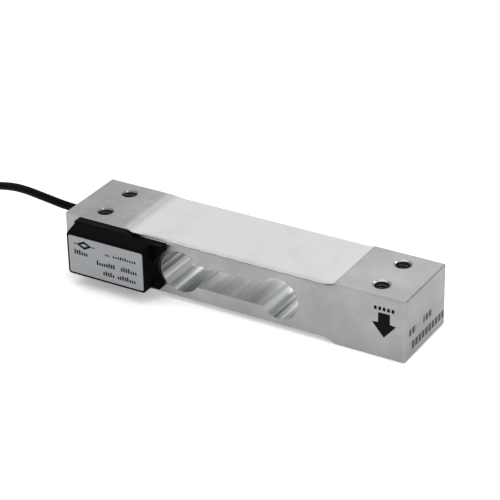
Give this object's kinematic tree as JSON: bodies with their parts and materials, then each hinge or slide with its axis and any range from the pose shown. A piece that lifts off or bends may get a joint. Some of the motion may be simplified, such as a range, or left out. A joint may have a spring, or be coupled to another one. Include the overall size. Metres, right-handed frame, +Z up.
{
  "type": "single point load cell",
  "caption": "Single point load cell: a milled aluminium beam with a binocular flexure cut-out, coated strain gauges, a black side cover and a thin cable.",
  "frame": {"origin": "midway between the two tapped holes of the cable end, on the lower mounting face", "axes": "+X along the beam to the load end, -Y towards the side cover, +Z up, the way the load's platform lies"},
  "size_m": [0.2443, 0.0454, 0.0225],
  "materials": {
    "machined_aluminium": "milled bar, fine tool marks, edges just broken",
    "white_silicone": "matt white silicone coat with a soft rounded edge",
    "gauge_foil": "amber film carrier with a metal foil grid",
    "enamelled_wire": "thin enamelled wire",
    "circuit_board": "green solder-masked glass laminate",
    "resistor_body": "black chip with tinned ends",
    "black_plastic": "moulded black plastic, fine satin texture",
    "satin_plate": "thin satin metal plate, printed in black",
    "sealing_compound": "black sealing compound, slightly glossy",
    "core_insulation": "thin coloured insulation",
    "cable_jacket": "black flexible jacket, satin",
    "red_insulation": "thin red insulation with a tinned tip",
    "green_insulation": "thin green insulation with a tinned tip",
    "white_insulation": "thin white insulation with a tinned tip",
    "blue_insulation": "thin blue insulation with a tinned tip",
    "tinned_wire": "bare tinned copper"
  },
  "bodies": {
    "root": {"beam": "machined_aluminium", "top_coating": "white_silicone", "bottom_coating": "white_silicone", "gauge_top_fixed_end": "gauge_foil", "gauge_top_load_end": "gauge_foil", "gauge_bottom_fixed_end": "gauge_foil", "gauge_bottom_load_end": "gauge_foil", "top_solder_strip": "gauge_foil", "bottom_solder_strip": "gauge_foil", "top_jumpers": "enamelled_wire", "bottom_jumpers": "enamelled_wire", "top_leads": "enamelled_wire", "bottom_leads": "enamelled_wire", "terminal_board": "circuit_board", "zero_resistor": "resistor_body", "span_resistor": "resistor_body", "thermal_resistor": "resistor_body", "cover_base": "black_plastic", "side_cover": "black_plastic", "nameplate": "satin_plate", "cable_seal": "sealing_compound", "board_leads": "core_insulation", "cable_sheath": "cable_jacket", "cable_coil": "cable_jacket", "core_red": "red_insulation", "core_green": "green_insulation", "core_white": "white_insulation", "core_blue": "blue_insulation", "shield_drain": "tinned_wire"}
  },
  "joints": []
}
